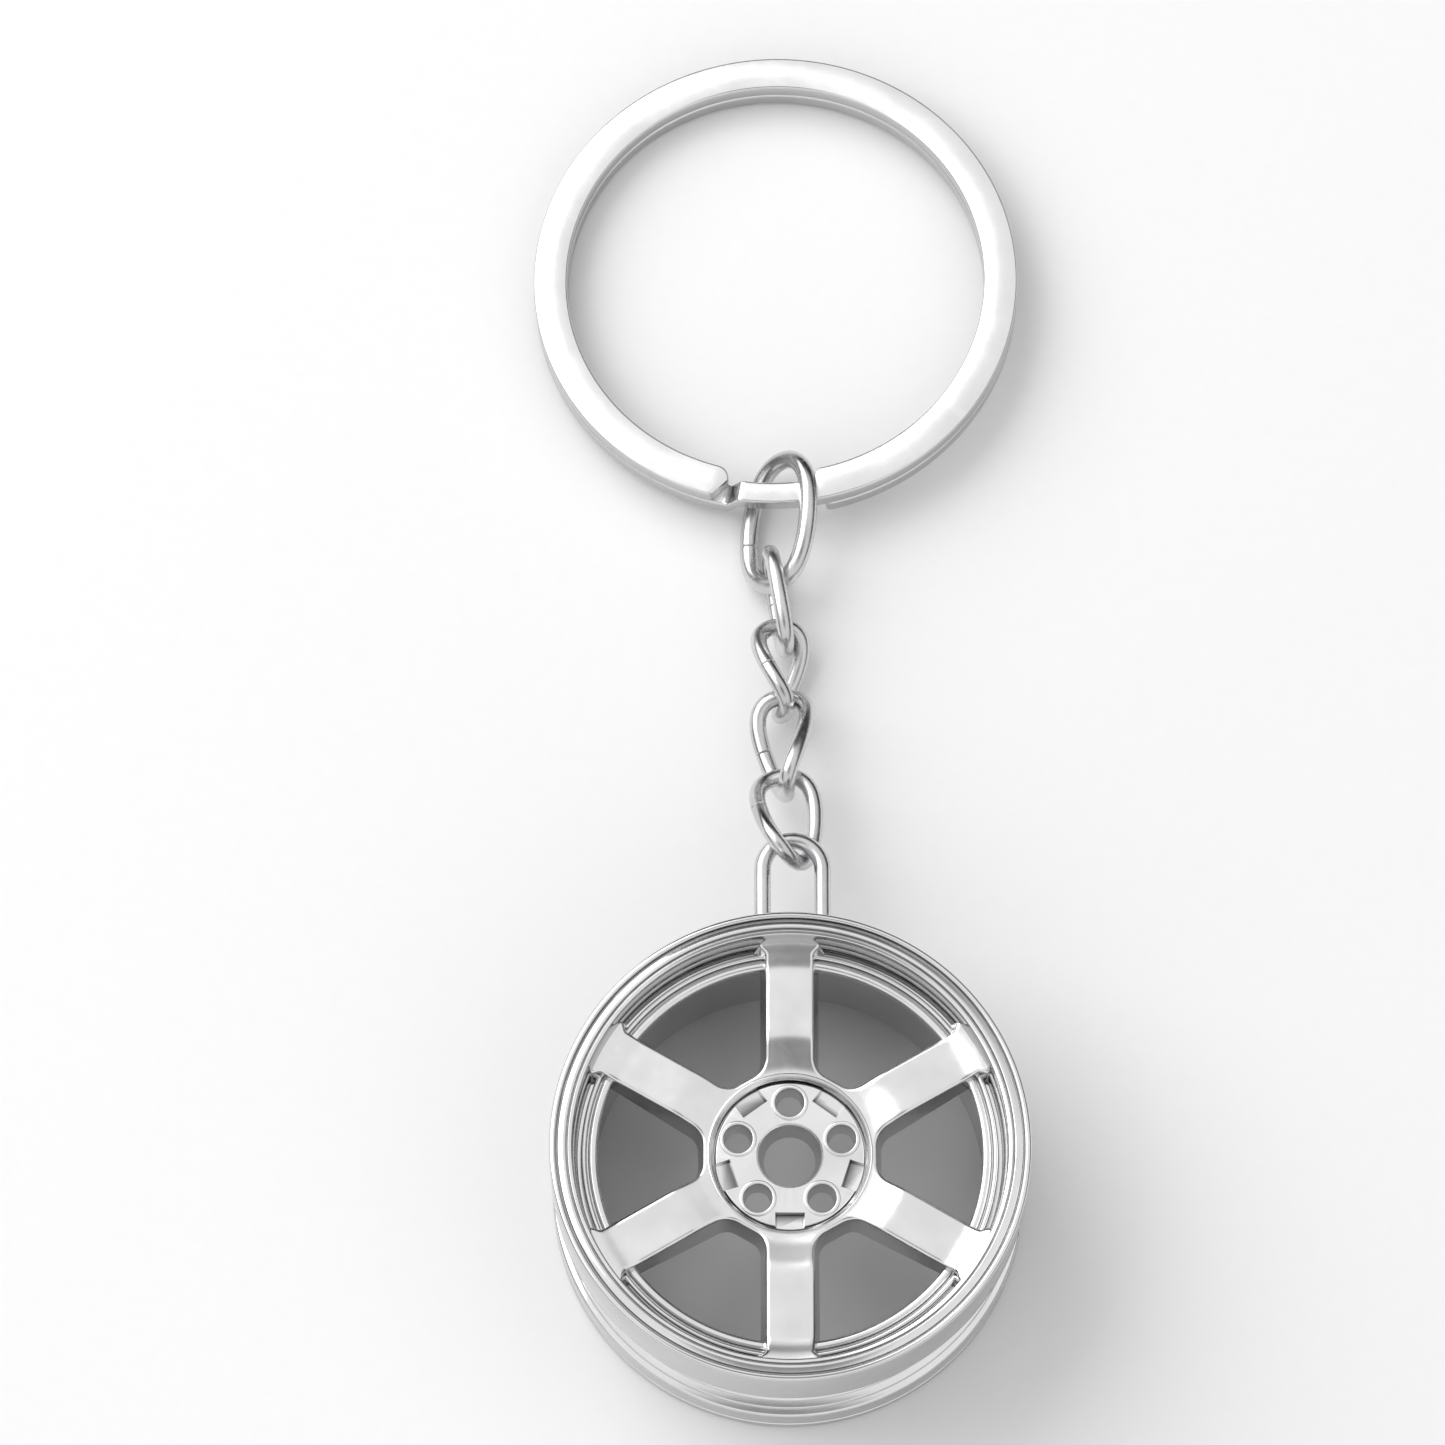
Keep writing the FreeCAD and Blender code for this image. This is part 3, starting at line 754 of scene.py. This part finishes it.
def soft_box(name, place, aim, width, depth, watts):
    """A rectangular soft light at a place in millimetres, turned to face a point."""
    light = bpy.data.lights.new(name, "AREA")
    light.shape = "RECTANGLE"
    light.size = width * MM
    light.size_y = depth * MM
    light.energy = watts
    lamp = bpy.data.objects.new(name, light)
    lamp.location = Vector(place) * MM
    lamp.rotation_euler = (Vector(aim) - Vector(place)).to_track_quat("-Z", "Y").to_euler()
    bpy.context.scene.collection.objects.link(lamp)


CAMERA_PLACE = WHEEL_AXIS + Vector((-4.80, -106.2, 435.9))
CAMERA_TURN = (math.radians(17.57), math.radians(-0.08), 0)
CAMERA_LENS = 174.4


def studio_world():
    """A pale room: white overhead, a grey gap round the camera and a greyer horizon."""
    world = bpy.data.worlds.new("studio")
    bpy.context.scene.world = world
    world.use_nodes = True
    nodes = world.node_tree.nodes
    links = world.node_tree.links
    place = nodes.new("ShaderNodeTexCoord")
    toward = nodes.new("ShaderNodeVectorMath")
    toward.operation = "DOT_PRODUCT"
    toward.inputs[1].default_value = CAMERA_PLACE.normalized()
    links.new(place.outputs["Generated"], toward.inputs[0])
    gap = nodes.new("ShaderNodeValToRGB")
    links.new(toward.outputs["Value"], gap.inputs["Fac"])
    ramp = gap.color_ramp
    stops = ((0.0, 0.02), (0.26, 0.06), (0.44, 0.75), (0.60, 1.0), (0.94, 1.0), (0.97, 0.38),
             (1.0, 0.30))
    while len(ramp.elements) < len(stops):
        ramp.elements.new(0.5)
    for element, (spot, tone) in zip(ramp.elements, stops):
        element.position = spot
        element.color = (tone, tone, tone, 1)
    background = nodes["Background"]
    links.new(gap.outputs["Color"], background.inputs["Color"])
    background.inputs["Strength"].default_value = 0.88


def stage_camera():
    data = bpy.data.cameras.new("camera")
    data.sensor_width = 36
    data.lens = CAMERA_LENS
    data.clip_start = 0.02
    data.clip_end = 10
    camera = bpy.data.objects.new("camera", data)
    camera.location = CAMERA_PLACE * MM
    camera.rotation_euler = CAMERA_TURN
    bpy.context.scene.collection.objects.link(camera)
    bpy.context.scene.camera = camera


stage_floor()
studio_world()
soft_box("key_light", (-520, 330, 560), (0, 0, 0), 840, 840, 4.9)
stage_camera()
bpy.context.scene.view_settings.view_transform = "Standard"
